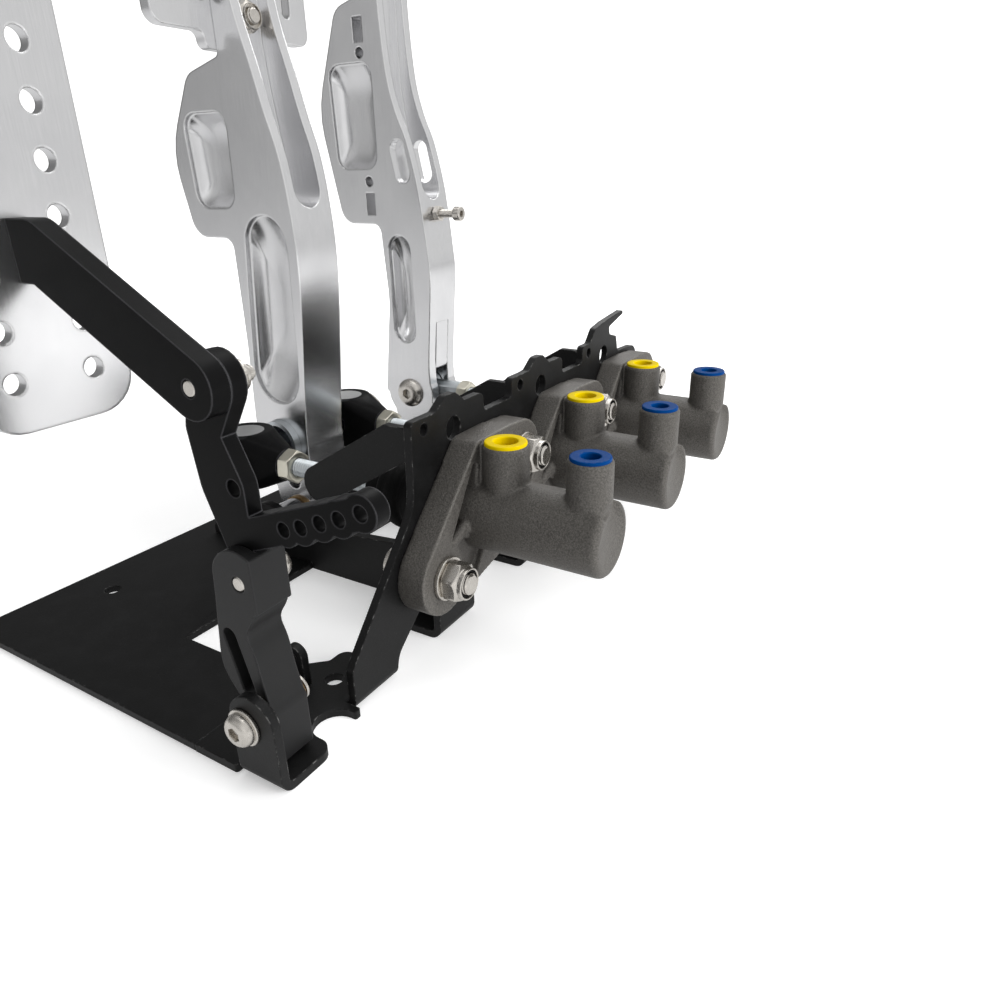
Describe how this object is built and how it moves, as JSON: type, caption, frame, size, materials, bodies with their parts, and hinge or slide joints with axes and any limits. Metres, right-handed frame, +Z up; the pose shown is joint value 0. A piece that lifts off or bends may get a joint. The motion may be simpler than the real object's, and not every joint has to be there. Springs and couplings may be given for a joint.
{
  "type": "pedal box",
  "caption": "Floor-mounted racing pedal box with swinging brake and clutch arms, a balance bar, master cylinders on a folded sheet bulkhead and a throttle crank at the side.",
  "frame": {"origin": "centre of the four floor bolts, on the floor face", "axes": "+X to the driver's right, +Y forward along the push rods, +Z up from the floor"},
  "size_m": [0.296, 0.225, 0.298],
  "materials": {
    "coat_black": "satin powder coat",
    "anodised_black": "satin black anodised",
    "cast_grey": "fine cast skin",
    "plug_yellow": "smooth",
    "plug_blue": "smooth",
    "zinc": "bright zinc plate",
    "bright_aluminium": "brushed",
    "bronze": "sintered",
    "rubber_black": "matte",
    "spring_steel": "plain"
  },
  "bodies": {
    "base": {"base_plate": "coat_black", "bulkhead": "coat_black", "brake_rails": "coat_black", "clutch_rails": "coat_black", "cylinder_body_1": "cast_grey", "cylinder_body_2": "cast_grey", "cylinder_body_3": "cast_grey", "feed_plugs": "plug_yellow", "outlet_plugs": "plug_blue", "flange_bolts": "zinc", "flange_washers": "zinc", "flange_nuts": "zinc", "bore_clips": "spring_steel", "return_spring_1": "spring_steel", "return_spring_2": "spring_steel", "return_spring_3": "spring_steel", "boot_1": "rubber_black", "boot_2": "rubber_black", "boot_3": "rubber_black", "pivot_bolts": "zinc", "pivot_nuts": "zinc", "pivot_spacers": "bright_aluminium", "throttle_bolt": "zinc"},
    "brake": {"brake_arm": "bright_aluminium", "brake_bushes": "bronze", "brake_pad": "bright_aluminium", "brake_pad_bolts": "zinc", "bias_tube": "zinc", "bias_bearing": "bright_aluminium", "bias_bar": "zinc", "bias_nuts": "zinc"},
    "push_1": {"piston_1": "bright_aluminium", "seal_1": "rubber_black", "push_rod_1": "zinc", "jam_nut_1": "zinc", "clevis_1": "anodised_black", "trunnion_1": "zinc"},
    "push_2": {"piston_2": "bright_aluminium", "seal_2": "rubber_black", "push_rod_2": "zinc", "jam_nut_2": "zinc", "clevis_2": "anodised_black", "trunnion_2": "zinc"},
    "clutch": {"clutch_arm": "bright_aluminium", "clutch_bushes": "bronze", "clutch_pad": "bright_aluminium", "clutch_pad_bolts": "zinc", "clutch_pin": "zinc", "clutch_stop": "zinc"},
    "push_3": {"piston_3": "bright_aluminium", "seal_3": "rubber_black", "push_rod_3": "zinc", "jam_nut_3": "zinc", "rod_eye": "zinc"},
    "throttle": {"throttle_arm": "anodised_black", "throttle_bush": "bronze", "throttle_crank": "anodised_black", "throttle_dowels": "zinc", "throttle_pad_arm": "anodised_black", "throttle_pad": "bright_aluminium"}
  },
  "joints": [
    {"name": "brake_pivot", "type": "hinge", "parent": "base", "child": "brake", "pos_m": [0, -0.03, 0.015], "axis": [-1, 0, 0], "range_deg": [0, 16], "stiffness_Nm_per_rad": 12, "springref_deg": -22.92},
    {"name": "push_1_slide", "type": "slide", "parent": "base", "child": "push_1", "axis": [0, 1, 0], "range_m": [0, 0.00994], "deforming": ["return_spring_1"]},
    {"name": "push_2_slide", "type": "slide", "parent": "base", "child": "push_2", "axis": [0, 1, 0], "range_m": [0, 0.00994], "deforming": ["return_spring_2"]},
    {"name": "clutch_pivot", "type": "hinge", "parent": "base", "child": "clutch", "pos_m": [-0.099, -0.03, 0.015], "axis": [-1, 0, 0], "range_deg": [0, 16], "stiffness_Nm_per_rad": 12, "springref_deg": -22.92},
    {"name": "push_3_slide", "type": "slide", "parent": "base", "child": "push_3", "axis": [0, 1, 0], "range_m": [0, 0.00994], "deforming": ["return_spring_3"]},
    {"name": "throttle_pivot", "type": "hinge", "parent": "base", "child": "throttle", "pos_m": [0, 0.0748, 0.0212], "axis": [-1, 0, 0], "range_deg": [0, 20], "stiffness_Nm_per_rad": 3, "springref_deg": -22.92}
  ],
  "couplings": [
    {"joint": "push_1_slide", "follows": "brake_pivot", "m_per_rad": 0.035229},
    {"joint": "push_2_slide", "follows": "brake_pivot", "m_per_rad": 0.035229},
    {"joint": "push_3_slide", "follows": "clutch_pivot", "m_per_rad": 0.035229}
  ]
}
